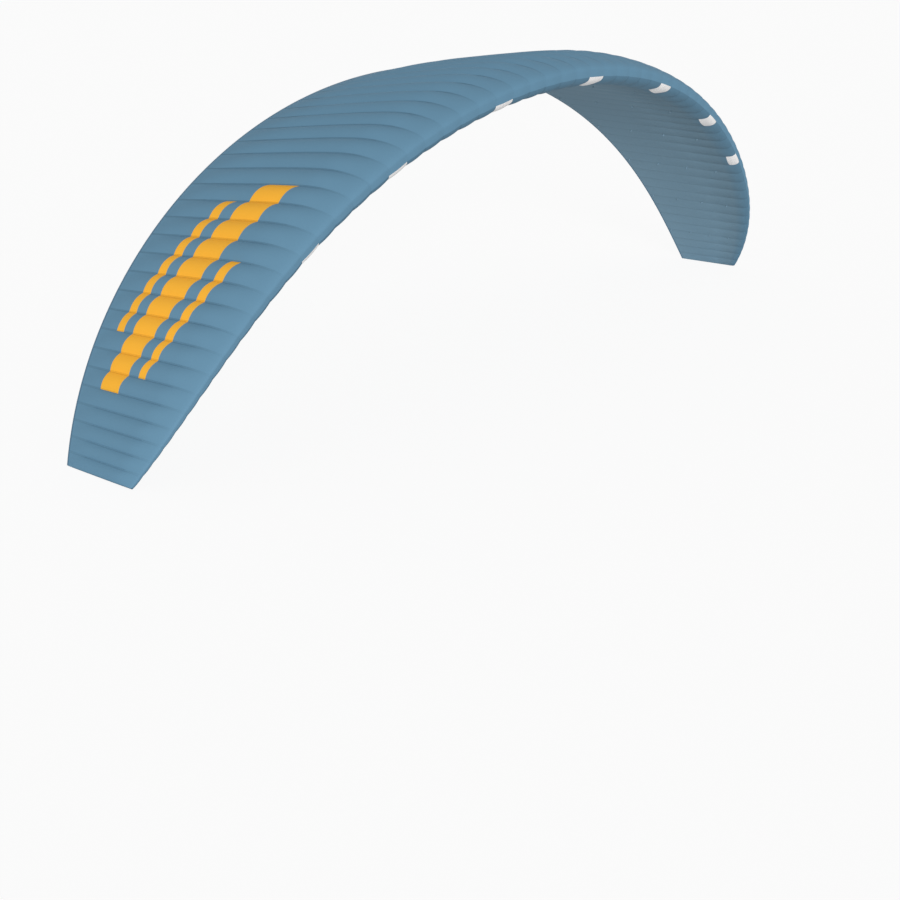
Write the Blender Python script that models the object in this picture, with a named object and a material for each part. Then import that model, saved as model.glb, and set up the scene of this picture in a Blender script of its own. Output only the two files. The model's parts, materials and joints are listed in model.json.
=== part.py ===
"""Closed-cell ram-air kite for kitesurfing, inflated and arched as it flies.

X runs along the span, Y from the leading edge to the trailing edge, Z up.
The origin is on the ground midway between the two wing tips that it stands on.
"""

import math

import bmesh
import bpy
import numpy as np
from mathutils import Matrix, Vector

# Canopy, metres and degrees
HALF_SPAN = 4.55  # along the cloth, from the middle to a wing tip
CELLS = 61
CELL_TAPER = 0.58  # cell width falls as 1 - CELL_TAPER u^2 towards the tip
ROOT_CHORD = 1.59
TIP_CHORD = 0.57
CHORD_FALL = {2: 0.84, 4: -0.26, 8: 0.42}  # how the chord goes from root to tip, powers of u
TIP_SWEEP = 0.53  # the tip's leading edge lies this far behind the root's
SWEEP_RISE = {2: 0.77, 4: -0.41, 8: 0.64}
TIP_ROLL = 62.5  # the arch turns the tips down by this angle
ROLL_RISE = {1: 0.74, 3: 0.26}
ROOT_INCIDENCE = -1.8  # against the tips, whose flat underside is level
INCIDENCE_RISE = {2: 1.39, 4: -2.39}

# Wing section, shares of the chord
ROOT_THICKNESS = 0.12
TIP_THICKNESS = 0.04
NOSE_HEIGHT = 0.3  # height of the nose point over the flat underside, share of the thickness
NOSE_LENGTH = 1.33  # length of the rounded nose below that point, in thicknesses
TOP_STATIONS = (1.0, 0.93, 0.74, 0.52, 0.30, 0.15, 0.06, 0.015)
INTAKE_ANGLE = 55.0  # how far round the lower nose an intake reaches
NOSE_ANGLES = (0.0, 30.0, INTAKE_ANGLE, 90.0)
LOWER_STATIONS = (0.5, 0.93, 1.0)
RIB_END = 0.93
BALLOON = 0.10  # how far a cell's middle swells, share of its width
BALLOON_FADE = 0.43  # the swelling dies out over this much chord, ahead of the ribs' ends

# Cloth and clearances, metres
SKIN = 0.001
RIB = 0.001
CLEARANCE = 0.0003
HEM_DEPTH = 0.010
HEM_OVERLAP = 0.0006  # the hem tape is this much thicker than the cloth, above and below
STRAP_WIDTH = 0.025
STRAP_THICKNESS = 0.001
STRAP_PLACE = 0.42  # share of the chord
STRAP_HEIGHT = 0.004  # over the rib's lower edge
PORT_PLACES = (0.27, 0.58)  # cross ports in a load rib; the others have the first only
PORT_HEIGHT = 0.28  # half height, share of the rib's height there
PORT_LENGTH = 0.05  # half length, share of the chord
TAB_PLACES = {"a": 0.20, "b": 0.45, "c": 0.70, "brake": 0.96}
TAB_LENGTH = 0.014
TAB_THICKNESS = 0.0014
TAB_DROP = 0.022
TAB_ROOT = 0.0005  # how deep a tab is sewn into the skin
TAB_SEWN_THICKNESS = 0.0024
TAB_SHOULDER = 0.007  # the sewn end thins out over this drop

# Spanwise layout, in cells from the middle
RUN_ENDS = {"centre": 4.5, "inner": 13.5, "outer": 21.5, "tip": CELLS / 2}  # cells built as one piece
INTAKE_CELLS = (0, 6, 12, 17)
FIRST_LOAD_RIB = 2.5
LOAD_RIB_STEP = 4

# Intake valves, metres and degrees
HEM_RADIUS = 0.0015
FLAP_THICKNESS = 0.001
FLAP_SIDE_CLEARANCE = 0.002
FLAP_TAIL_CLEARANCE = 0.004

# Deflation zip under the trailing edge, metres
ZIP_PLACE = 0.965  # share of the chord
ZIP_LENGTH = 0.170
ZIP_TAPE_WIDTH = 0.024
ZIP_TAPE_THICKNESS = 0.001
ZIP_COIL_WIDTH = 0.004
ZIP_COIL_HEIGHT = 0.0016
SLIDER_LENGTH = 0.012
SLIDER_WIDTH = 0.010
SLIDER_HEIGHT = 0.0045
SLIDER_START = -0.076  # closed end, from the middle
PULL_LENGTH = 0.024
PULL_WIDTH = 0.006
PULL_THICKNESS = 0.0012

BLUE = (0.135, 0.275, 0.395)
DARK_BLUE = (0.075, 0.165, 0.250)
WHITE = (0.83, 0.80, 0.80)
GREY = (0.45, 0.47, 0.50)
BLACK = (0.03, 0.03, 0.035)
CLOTH_ROUGHNESS = 0.55


def series(terms, u):
    return sum(share * u**power for power, share in terms.items())


def station(k):
    """Signed distance along the cloth, as a share of HALF_SPAN, of cell coordinate k."""
    u = abs(k) / (CELLS / 2)
    share = (u - CELL_TAPER * u**3 / 3) / (1 - CELL_TAPER / 3)
    return math.copysign(share, k)


def arch_point(u):
    """How far out and how far down the arch has gone at share u of the half span."""
    steps = 200
    angles = [math.radians(TIP_ROLL) * series(ROLL_RISE, u * (i + 0.5) / steps) for i in range(steps)]
    length = HALF_SPAN * u / steps
    return length * sum(map(math.cos, angles)), length * sum(map(math.sin, angles))


BASE = Vector()  # the origin on the ground, against the root's leading edge; set below


class Section:
    """The wing's cross-section at share u of the half span, with its place in the arch."""

    def __init__(self, share, shift=0.0):
        u = abs(share)
        side = 1.0 if share >= 0 else -1.0
        out, down = arch_point(u)
        roll = side * math.radians(TIP_ROLL) * series(ROLL_RISE, u)
        incidence = math.radians(ROOT_INCIDENCE) * (1 + series(INCIDENCE_RISE, u))
        self.chord = ROOT_CHORD - (ROOT_CHORD - TIP_CHORD) * series(CHORD_FALL, u)
        self.thickness = ROOT_THICKNESS - (ROOT_THICKNESS - TIP_THICKNESS) * u**4
        self.span = Vector((math.cos(roll), 0.0, -math.sin(roll)))
        rise = Vector((math.sin(roll), 0.0, math.cos(roll)))
        back = Vector((0.0, 1.0, 0.0))
        self.back = back * math.cos(incidence) - rise * math.sin(incidence)
        self.rise = rise * math.cos(incidence) + back * math.sin(incidence)
        lead = TIP_SWEEP * series(SWEEP_RISE, u)
        self.origin = Vector((side * out, lead, -down)) + self.span * shift - BASE

    def at(self, x, z, along=0.0):
        return self.origin + self.back * x + self.rise * z + self.span * along

    def matrix(self):
        turn = Matrix((self.back, self.rise, self.span)).transposed().to_4x4()
        return Matrix.Translation(self.origin) @ turn

    def outline(self):
        """Points (x, z) from the trailing edge over the top to the nose and back below."""
        height = NOSE_HEIGHT * self.thickness
        top = []
        for x in TOP_STATIONS:
            bow = 2.969 * x**0.5 - 1.260 * x - 3.516 * x**2 + 2.843 * x**3 - 1.036 * x**4
            top.append((x, height * (1 - x) + (self.thickness - 0.7 * height) * bow))
        nose = []
        for angle in map(math.radians, NOSE_ANGLES):
            nose.append((NOSE_LENGTH * self.thickness * (1 - math.cos(angle)), height * (1 - math.sin(angle))))
        lower = [(x, 0.0) for x in LOWER_STATIONS]
        points = np.array(top + nose + lower) * self.chord
        points[: len(top), 1] += (2 * SKIN + CLEARANCE) * np.array(TOP_STATIONS)
        return points

    def normals(self):
        """Outward mitre normals of the outline, upright at the trailing edge."""
        points = self.outline()
        edges = np.diff(points, axis=0)
        edges /= np.linalg.norm(edges, axis=1)[:, None]
        sides = np.stack([edges[:, 1], -edges[:, 0]], axis=1)
        mitre = (sides[:-1] + sides[1:]) / (1 + (sides[:-1] * sides[1:]).sum(axis=1))[:, None]
        return np.vstack([[0.0, 1.0], mitre, [0.0, -1.0]])

    def swelling(self):
        share = self.outline()[:, 0] / self.chord
        return np.clip((RIB_END - share) / BALLOON_FADE, 0, 1)

    def skin(self, inset, swell):
        """The outline moved in by the inset and out by the swelling of the cell."""
        mitre = self.normals()
        straight = mitre / np.linalg.norm(mitre, axis=1)[:, None]
        return self.outline() + straight * (self.swelling() * swell)[:, None] - mitre * inset

    def inner_height(self, x):
        """Lower and upper edge of the rib at share x of the chord."""
        points = self.skin(SKIN + CLEARANCE, 0.0) / self.chord
        nose = len(TOP_STATIONS)
        top = np.interp(x, points[nose::-1, 0], points[nose::-1, 1])
        low = np.interp(x, points[nose:, 0], points[nose:, 1])
        return low * self.chord, top * self.chord


def cell_width(cell):
    return HALF_SPAN * (station(cell + 0.5) - station(cell - 0.5))


def is_load_rib(k):
    steps = (abs(k) - FIRST_LOAD_RIB) / LOAD_RIB_STEP
    return steps >= 0 and steps == round(steps) and abs(k) < CELLS / 2


def box_ring(section, x, z, length, height, along=0.0):
    """Four corners of an upright rectangle about (x, z) in a section's plane."""
    return [
        section.at(x + dx * length / 2, z + dz * height / 2, along)
        for dx, dz in ((-1, -1), (1, -1), (1, 1), (-1, 1))
    ]


def hem_ring(section):
    cloth = 2 * SKIN + CLEARANCE
    x = section.chord + CLEARANCE + HEM_DEPTH / 2
    return box_ring(section, x, cloth / 2, HEM_DEPTH, cloth + 2 * HEM_OVERLAP)


def tip_panel_section(side):
    return Section(side * 1.0, side * (CLEARANCE + SKIN / 2))


def ground_point():
    """Midway between the foremost nose and the hem's back, at the height of the tips' lower edges."""
    root = Section(0.0)
    swollen = root.skin(0.0, BALLOON * cell_width(0))
    front = min(root.at(x, z).y for x, z in swollen)
    back = max(corner.y for corner in hem_ring(root))
    tip = tip_panel_section(1)
    return Vector((0.0, (front + back) / 2, tip.at(tip.chord, 0.0, SKIN / 2).z))


BASE = ground_point()


def material(name, colour, roughness=CLOTH_ROUGHNESS, metallic=0.0):
    made = bpy.data.materials.new(name)
    made.use_nodes = True
    shader = made.node_tree.nodes["Principled BSDF"]
    shader.inputs["Base Color"].default_value = (*colour, 1.0)
    shader.inputs["Roughness"].default_value = roughness
    shader.inputs["Metallic"].default_value = metallic
    return made


def add_object(name, mesh, colour, collection, roughness=CLOTH_ROUGHNESS, metallic=0.0):
    made = bpy.data.objects.new(name, mesh)
    mesh.materials.clear()
    mesh.materials.append(material(name, colour, roughness, metallic))
    collection.objects.link(made)
    return made


def mesh_of(name, points, faces):
    work = bmesh.new()
    corners = [work.verts.new(point) for point in points]
    for face in faces:
        work.faces.new([corners[i] for i in face])
    bmesh.ops.recalc_face_normals(work, faces=work.faces)
    mesh = bpy.data.meshes.new(name)
    work.to_mesh(mesh)
    work.free()
    return mesh


def shell_mesh(name, outer, inner, keep):
    """A sheet of cloth between two grids of points, left out where keep says no.

    Both faces of a square are cut along the same diagonal, the one that stands further out.
    """
    rows, columns = len(outer), len(outer[0])
    points = [p for row in outer for p in row] + [p for row in inner for p in row]
    inside = rows * columns
    faces = []
    rims = {}
    for i in range(rows - 1):
        for j in range(columns - 1):
            if not keep(i, j):
                continue
            corners = [i * columns + j, (i + 1) * columns + j, (i + 1) * columns + j + 1, i * columns + j + 1]
            a, b, c, d = (points[corner] for corner in corners)
            outwards = a + c - points[inside + corners[0]] - points[inside + corners[2]]
            if (b + d - a - c).dot(outwards) > 0:
                corners = corners[1:] + corners[:1]
            for half in (corners[:3], corners[2:] + corners[:1]):
                faces.append(half)
                faces.append([inside + corner for corner in reversed(half)])
            for a, b in zip(corners, corners[1:] + corners[:1]):
                edge = frozenset((a, b))
                rims[edge] = None if edge in rims else (a, b)
    faces += [(b, a, inside + a, inside + b) for a, b in filter(None, rims.values())]
    used = sorted({corner for face in faces for corner in face})
    place = {corner: i for i, corner in enumerate(used)}
    faces = [[place[corner] for corner in face] for face in faces]
    return mesh_of(name, [points[corner] for corner in used], faces)


def loft_mesh(name, rings):
    """A solid through rings with the same number of corners, closed at both ends."""
    size = len(rings[0])
    points = [point for ring in rings for point in ring]
    faces = [tuple(range(size)), tuple(range(len(points) - size, len(points)))]
    for i in range(len(rings) - 1):
        for j in range(size):
            following = (j + 1) % size
            faces.append((i * size + j, i * size + following, (i + 1) * size + following, (i + 1) * size + j))
    return mesh_of(name, points, faces)


def skin_stations(first, last, edge_gap):
    """Sections at each rib and mid-cell from first to last, with how much each cell swells."""
    found = []
    for step in range(int(round(2 * (last - first))) + 1):
        k = first + step / 2
        share = station(k)
        middle = step % 2 == 1
        shift = edge_gap if step == 0 else -edge_gap if k == last else 0.0
        found.append((Section(share, shift), BALLOON * cell_width(k) if middle else 0.0))
    return found


def skin_grids(stations, columns, nose_move):
    """Outer and inner points of a skin; its nose edge moves up or down to leave a gap."""
    outer, inner = [], []
    nose = len(TOP_STATIONS)
    for section, swell in stations:
        for grid, inset in ((outer, 0.0), (inner, SKIN)):
            outline = section.skin(inset, swell)
            outline[nose, 1] += nose_move
            grid.append([section.at(x, z) for x, z in outline[columns]])
    return outer, inner


def top_skin(name, first, last, collection):
    columns = slice(0, len(TOP_STATIONS) + 1)
    outer, inner = skin_grids(skin_stations(first, last, CLEARANCE / 2), columns, CLEARANCE / 2)
    add_object(name, shell_mesh(name, outer, inner, lambda i, j: True), BLUE, collection)


def bottom_skin(name, first, last, collection, cutters):
    columns = slice(len(TOP_STATIONS), None)
    outer, inner = skin_grids(skin_stations(first, last, CLEARANCE / 2), columns, -CLEARANCE / 2)
    intake_columns = NOSE_ANGLES.index(INTAKE_ANGLE)

    def keep(i, j):
        cell = round(first + 0.5 + i // 2)
        return not (abs(cell) in INTAKE_CELLS and j < intake_columns)

    made = add_object(name, shell_mesh(name, outer, inner, keep), BLUE, collection)
    add_tabs(made, [k for k in ribs_between(first, last) if is_load_rib(k)], cutters)


def tab_rings(section, place):
    """Corners of a line tab: its sewn end in the skin, its shoulder and its free end."""
    rings = []
    steps = ((TAB_ROOT, TAB_SEWN_THICKNESS), (-TAB_SHOULDER, TAB_THICKNESS), (-TAB_DROP, TAB_THICKNESS))
    for height, thickness in steps:
        x, along = TAB_LENGTH / 2, thickness / 2
        corners = ((-x, -along), (x, -along), (x, along), (-x, along))
        rings.append([section.at(place * section.chord + dx, height, dy) for dx, dy in corners])
    return rings


def add_tabs(skin, ribs, cutters):
    """Line tabs sewn under each load rib, one for each row of the bridle."""
    work = bmesh.new()
    for k in ribs:
        for place in TAB_PLACES.values():
            tab = loft_mesh("tab", tab_rings(Section(station(k)), place))
            work.from_mesh(tab)
            bpy.data.meshes.remove(tab)
    mesh = bpy.data.meshes.new("tabs")
    work.to_mesh(mesh)
    work.free()
    join_with(skin, bpy.data.objects.new(f"{skin.name}_tabs", mesh), cutters)


def join_with(piece, other, cutters):
    other.hide_render = True
    other.display_type = "WIRE"
    cutters.objects.link(other)
    union = piece.modifiers.new("join", "BOOLEAN")
    union.operation = "UNION"
    union.object = other


def plate_mesh(outlines, thickness):
    """A flat plate of cloth about the XY plane: its outline, then its holes."""
    curve = bpy.data.curves.new("plate", "CURVE")
    curve.dimensions = "2D"
    curve.fill_mode = "BOTH"
    curve.extrude = thickness / 2
    for outline in outlines:
        spline = curve.splines.new("POLY")
        spline.points.add(len(outline) - 1)
        for corner, (x, y) in zip(spline.points, outline):
            corner.co = (x, y, 0.0, 1.0)
        spline.use_cyclic_u = True
    drawn = bpy.data.objects.new("plate", curve)
    bpy.context.scene.collection.objects.link(drawn)
    evaluated = drawn.evaluated_get(bpy.context.evaluated_depsgraph_get())
    mesh = bpy.data.meshes.new_from_object(evaluated)
    bpy.data.objects.remove(drawn)
    work = bmesh.new()
    work.from_mesh(mesh)
    bmesh.ops.remove_doubles(work, verts=work.verts, dist=0.00001)
    bmesh.ops.recalc_face_normals(work, faces=work.faces)
    work.to_mesh(mesh)
    work.free()
    return mesh


def rib_outline(section, inset):
    """The section's outline as far back as the ribs go, in without its straight run's points."""
    outline = section.skin(inset, 0.0)
    straight = len(TOP_STATIONS) + len(NOSE_ANGLES)
    return np.vstack([outline[1:straight], outline[-2:-1]])


def ports_of(section, k):
    """Cross ports that let air pass through a rib."""
    places = PORT_PLACES if is_load_rib(k) else PORT_PLACES[:1]
    sides = 8 if is_load_rib(k) else 6
    ports = []
    for place in places:
        low, high = section.inner_height(place)
        angles = [2 * math.pi * (i + 0.5) / sides for i in range(sides)]
        length, height = PORT_LENGTH * section.chord, PORT_HEIGHT * (high - low)
        x, z = place * section.chord, (low + high) / 2
        ports.append([(x + length * math.cos(a), z + height * math.sin(a)) for a in angles])
    return ports


def rib_frame(name, ribs, collection, cutters):
    """A run of ribs sewn to the load strap that passes through them."""
    work = bmesh.new()
    rings = []
    for k in ribs:
        section = Section(station(k))
        plate = plate_mesh([rib_outline(section, SKIN + CLEARANCE)] + ports_of(section, k), RIB)
        plate.transform(section.matrix())
        work.from_mesh(plate)
        bpy.data.meshes.remove(plate)
        low = section.inner_height(STRAP_PLACE)[0]
        height = low + STRAP_HEIGHT * section.thickness / ROOT_THICKNESS
        rings.append(box_ring(section, STRAP_PLACE * section.chord, height, STRAP_WIDTH, STRAP_THICKNESS))
    mesh = bpy.data.meshes.new(name)
    work.to_mesh(mesh)
    work.free()
    made = add_object(name, mesh, WHITE, collection)
    strap = bpy.data.objects.new(f"{name}_strap", loft_mesh("strap", rings))
    join_with(made, strap, cutters)


def hem_tape(name, first, last, collection):
    """Folded tape along the trailing edge."""
    rings = []
    steps = int(round(last - first))
    for step in range(steps + 1):
        edge = CLEARANCE / 2 if step == 0 else -CLEARANCE / 2 if step == steps else 0.0
        rings.append(hem_ring(Section(station(first + step), edge)))
    add_object(name, loft_mesh(name, rings), DARK_BLUE, collection)


def tip_panel(name, side, collection):
    """The flat panel that closes the wing tip; the kite stands on its lower edge."""
    section = tip_panel_section(side)
    outline = section.outline()
    kept = np.vstack([outline[: len(TOP_STATIONS) + len(NOSE_ANGLES)], outline[-1:]])
    mesh = plate_mesh([kept], SKIN)
    mesh.transform(section.matrix())
    add_object(name, mesh, BLUE, collection)


def intake_panel(name, cell, collection):
    """White air-permeable panel in the lower nose of one cell."""
    nose = len(TOP_STATIONS)
    columns = slice(nose, nose + NOSE_ANGLES.index(INTAKE_ANGLE) + 1)
    stations = skin_stations(cell - 0.5, cell + 0.5, CLEARANCE)
    outer, inner = skin_grids(stations, columns, -CLEARANCE / 2)
    for grid in (outer, inner):
        for row in grid:
            row[-1] = row[-1] + (row[-2] - row[-1]).normalized() * CLEARANCE
    add_object(name, shell_mesh(name, outer, inner, lambda i, j: True), WHITE, collection)


def flap_frame(cell):
    """Hinge line of an intake's valve, half its length, and the flap's corners in its own plane."""
    nose = len(TOP_STATIONS)
    seams, rests = [], []
    for section in (Section(station(cell - 0.5)), Section(station(cell + 0.5))):
        inner = section.skin(SKIN, 0.0)
        seams.append(section.at(*(inner[nose] + np.array([HEM_RADIUS + 2 * CLEARANCE, 0.0]))))
        x, z = inner[nose + NOSE_ANGLES.index(INTAKE_ANGLE)]
        rests.append(section.at(x - FLAP_TAIL_CLEARANCE, z + FLAP_TAIL_CLEARANCE / 2))
    seam_line = seams[1] - seams[0]
    axis = seam_line.normalized()
    middle = (seams[0] + seams[1]) / 2
    fall = (rests[0] + rests[1]) / 2 - middle
    back = (fall - axis * fall.dot(axis)).normalized()
    place = Matrix((axis, back, axis.cross(back))).transposed().to_4x4()
    place.translation = middle
    corners = []
    for side, points in ((1, (seams[0], rests[0])), (-1, (rests[1], seams[1]))):
        inward = side * (RIB / 2 + FLAP_SIDE_CLEARANCE)
        corners += [((p - middle).dot(axis) + inward, (p - middle).dot(back)) for p in points]
    return place, seam_line.length / 2 - RIB / 2 - 2 * CLEARANCE, corners


def add_box(name, size, centre, collection):
    bpy.ops.mesh.primitive_cube_add(size=1.0, location=centre)
    made = bpy.context.object
    made.name = name
    made.scale = size
    bpy.ops.object.transform_apply(location=True, rotation=False, scale=True)
    for held in list(made.users_collection):
        held.objects.unlink(made)
    collection.objects.link(made)
    return made


def valve_flap(name, cell, collection, cutters):
    """One-way valve: a stiffened flap, hemmed round a cord at its seam, behind the intake."""
    place, half_seam, corners = flap_frame(cell)
    flap = add_object(name, plate_mesh([corners], FLAP_THICKNESS), GREY, collection)
    flap.matrix_world = place
    bpy.ops.mesh.primitive_cylinder_add(vertices=8, radius=HEM_RADIUS, depth=2 * half_seam)
    hem = bpy.context.object
    hem.name = f"{name}_hem"
    hem.data.transform(Matrix.Rotation(math.radians(90), 4, "Y"))
    hem.matrix_world = place
    for held in list(hem.users_collection):
        held.objects.unlink(hem)
    join_with(flap, hem, cutters)


def deflation_zip(collection, cutters):
    """Zip under the flat trailing edge of the middle cell, with its slider."""
    section = Section(0.0)
    rib = Section(station(0.5))
    x = ZIP_PLACE * section.chord
    ceiling = rib.at(ZIP_PLACE * rib.chord, 0.0, -CLEARANCE).z
    y = section.at(x, 0.0).y
    tilt = Matrix.Rotation(-math.radians(ROOT_INCIDENCE), 4, "X")
    seat = Matrix.Translation((0.0, y, ceiling - CLEARANCE * 2)) @ tilt

    tape = add_box(
        "deflation_zip_tape",
        (ZIP_LENGTH, ZIP_TAPE_WIDTH, ZIP_TAPE_THICKNESS),
        (0.0, 0.0, -ZIP_TAPE_THICKNESS / 2),
        collection,
    )
    tape.data.materials.append(material("deflation_zip_tape", BLACK))
    coil = add_box(
        "zip_coil",
        (ZIP_LENGTH - ZIP_COIL_WIDTH, ZIP_COIL_WIDTH, ZIP_COIL_HEIGHT + ZIP_TAPE_THICKNESS / 2),
        (0.0, 0.0, -ZIP_TAPE_THICKNESS * 0.75 - ZIP_COIL_HEIGHT / 2),
        cutters,
    )
    tape.matrix_world = seat
    coil.matrix_world = seat
    cutters.objects.unlink(coil)
    join_with(tape, coil, cutters)

    top = -ZIP_TAPE_THICKNESS - CLEARANCE
    start = seat @ Matrix.Translation((SLIDER_START, 0.0, top))
    slider = add_box(
        "zip_slider",
        (SLIDER_LENGTH, SLIDER_WIDTH, SLIDER_HEIGHT),
        (0.0, 0.0, -SLIDER_HEIGHT / 2),
        collection,
    )
    slider.data.materials.append(material("zip_slider", GREY, 0.35, 1.0))
    slider.matrix_world = start
    groove = add_box(
        "slider_groove",
        (2 * SLIDER_LENGTH, ZIP_COIL_WIDTH + 2 * CLEARANCE, 2 * ZIP_COIL_HEIGHT),
        (0.0, 0.0, 0.0),
        cutters,
    )
    groove.matrix_world = start
    groove.hide_render = True
    groove.display_type = "WIRE"
    cut = slider.modifiers.new("groove", "BOOLEAN")
    cut.operation = "DIFFERENCE"
    cut.object = groove
    pull = add_box(
        "slider_pull",
        (PULL_LENGTH, PULL_WIDTH, PULL_THICKNESS),
        (SLIDER_LENGTH / 4 + PULL_LENGTH / 2, 0.0, -SLIDER_HEIGHT),
        cutters,
    )
    pull.matrix_world = start
    cutters.objects.unlink(pull)
    join_with(slider, pull, cutters)


def runs():
    """Label, first rib and last rib of each run of cells."""
    found = []
    start = None
    for part, end in RUN_ENDS.items():
        if start is None:
            found.append((part, -end, end))
        else:
            found += [(f"{part}_right", start, end), (f"{part}_left", -end, -start)]
        start = end
    return found


def ribs_between(first, last):
    return [first + step for step in range(int(round(last - first)) + 1)]


def framed_ribs(first, last):
    """The ribs inside a run. One that two runs share goes with the inner one; the tips have panels."""
    shared = first if first > 0 else last if last < 0 else None
    return [k for k in ribs_between(first, last) if k != shared and abs(k) < CELLS / 2]


def build():
    for old in list(bpy.data.objects):
        bpy.data.objects.remove(old)
    kite = bpy.data.collections.new("kitesurfing_kite")
    cutters = bpy.data.collections.new("cutters")
    for made in (kite, cutters):
        bpy.context.scene.collection.children.link(made)

    for label, first, last in runs():
        top_skin(f"top_skin_{label}", first, last, kite)
        bottom_skin(f"bottom_skin_{label}", first, last, kite, cutters)
        hem_tape(f"trailing_edge_tape_{label}", first, last, kite)
        rib_frame(f"rib_frame_{label}", framed_ribs(first, last), kite, cutters)
    for label, side in (("right", 1), ("left", -1)):
        tip_panel(f"tip_panel_{label}", side, kite)
    for cell in sorted({side * cell for cell in INTAKE_CELLS for side in (-1, 1)}):
        label = "centre" if cell == 0 else f"{'right' if cell > 0 else 'left'}_{INTAKE_CELLS.index(abs(cell))}"
        intake_panel(f"intake_panel_{label}", cell, kite)
        valve_flap(f"valve_flap_{label}", cell, kite, cutters)
    deflation_zip(kite, cutters)


build()
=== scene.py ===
"""Looks of a closed-cell ram-air kite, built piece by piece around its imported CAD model."""

import json
import math

import bpy
import numpy as np
from mathutils import Matrix, Vector


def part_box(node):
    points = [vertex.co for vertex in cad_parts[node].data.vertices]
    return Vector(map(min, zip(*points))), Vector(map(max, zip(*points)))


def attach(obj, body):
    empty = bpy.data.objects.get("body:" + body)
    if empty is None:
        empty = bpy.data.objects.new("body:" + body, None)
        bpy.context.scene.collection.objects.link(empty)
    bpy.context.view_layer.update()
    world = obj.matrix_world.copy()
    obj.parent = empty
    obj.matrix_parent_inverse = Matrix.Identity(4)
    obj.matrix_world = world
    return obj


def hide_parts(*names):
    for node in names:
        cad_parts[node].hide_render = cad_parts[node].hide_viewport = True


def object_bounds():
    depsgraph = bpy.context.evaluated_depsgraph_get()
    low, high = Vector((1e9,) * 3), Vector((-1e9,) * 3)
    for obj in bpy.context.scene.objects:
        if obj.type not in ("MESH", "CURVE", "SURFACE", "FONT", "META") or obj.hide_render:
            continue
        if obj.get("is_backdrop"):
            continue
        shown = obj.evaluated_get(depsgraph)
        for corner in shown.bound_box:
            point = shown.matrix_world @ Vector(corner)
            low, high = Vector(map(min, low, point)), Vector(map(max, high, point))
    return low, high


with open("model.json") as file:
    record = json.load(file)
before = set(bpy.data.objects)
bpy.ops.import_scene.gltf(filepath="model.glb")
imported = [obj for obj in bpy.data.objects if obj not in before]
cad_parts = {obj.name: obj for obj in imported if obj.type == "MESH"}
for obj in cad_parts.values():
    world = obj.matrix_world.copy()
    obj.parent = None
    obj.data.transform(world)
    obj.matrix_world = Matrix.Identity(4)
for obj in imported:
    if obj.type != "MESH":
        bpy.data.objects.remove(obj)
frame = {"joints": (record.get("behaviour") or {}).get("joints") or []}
cad_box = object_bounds()

# Ribs and load straps
# Sixty ribs of stiff coated cloth stand across the span, each cut to the wing's section
# at its place, with ports that let the air pass. A strap sewn through them carries the
# pull of the lines. The two ribs at the wing tips are closing panels, further down.
HALF_SPAN = 4.55  # along the cloth, metres
CELLS = 61
CELL_TAPER = 0.58
ROOT_CHORD, TIP_CHORD = 1.59, 0.57
CHORD_FALL = {2: 0.84, 4: -0.26, 8: 0.42}
TIP_SWEEP = 0.53
SWEEP_RISE = {2: 0.77, 4: -0.41, 8: 0.64}
TIP_ROLL = 62.5  # degrees
ROLL_RISE = {1: 0.74, 3: 0.26}
ROOT_INCIDENCE = -1.8
INCIDENCE_RISE = {2: 1.39, 4: -2.39}
ROOT_THICKNESS, TIP_THICKNESS = 0.112, 0.065  # shares of the chord
NOSE_HEIGHT = 0.60  # of the foremost point, share of the thickness
NOSE_LENGTH = 1.7  # of the lower nose, in thicknesses
NOSE_BLUNTNESS = 1 / 2  # power on the ellipse's cosine and sine
NOSE_LEAD = 0.002  # how far the foremost point stands ahead, share of the chord
CREST = 0.27  # chord share where the section is thickest
CREST_FULLNESS = 2.0  # power of the curve from the nose to the crest
CREST_BLEND = 8  # power that blends that curve with the slope behind it
TINY = 1e-9  # keeps a negative power off zero
SKIN = 0.001  # thickness of the CAD model's cloth, metres
CLEARANCE = 0.0003
ARCH_STEPS = 200
TOP_STEPS, NOSE_STEPS, LOWER_STEPS = 120, 18, 90
NOSE_POINT = TOP_STEPS  # column of the outline at its foremost point
BUNCHING = 2.0  # power that draws the outline's columns together towards the nose

RUN_ENDS = {"centre": 4.5, "inner": 13.5, "outer": 21.5, "tip": CELLS / 2}
PORT_PLACES = (0.27, 0.58)
PORT_HEIGHT = 0.28
PORT_LENGTH = 0.05
PORT_MARGIN = 1.5  # length of the patch of rib round a port, in port lengths
RIB_THICKNESS = 0.0008
RIB_ROWS, RIB_COLUMNS = 4, 13  # of each plain grid
RIB_START, RIB_END = 0.004, 0.93
PORT_STEPS, PORT_RINGS = 6, 4  # along a patch's edge, and in towards its port
FIRST_LOAD_RIB, LOAD_RIB_STEP = 2.5, 4
STRAP_PLACE = 0.42
STRAP_WIDTH = 0.025
STRAP_HEIGHT = 0.004
STRAP_COLUMNS = 5
SHARP_ANGLE = 50  # degrees between faces from which an edge is drawn sharp
WELD_DIGITS = 6  # decimals of a metre to which points coincide
WEAVE_SHADE, CLOUD_SHADE = 0.06, 0.08  # of stiff cloth, shares of its colour
WEAVE_HEIGHT, CLOUD_HEIGHT = 0.00006, 0.0006
CLOUD_SCALE = 9.0


def series(terms, u):
    """Sum of each share times u to its power."""
    return sum(share * u**power for power, share in terms.items())


def station(k):
    """Share of the half span at cell coordinate k, from the middle; the cells narrow outwards."""
    u = np.abs(k) / (CELLS / 2)
    return np.sign(k) * (u - CELL_TAPER * u**3 / 3) / (1 - CELL_TAPER / 3)


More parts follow.
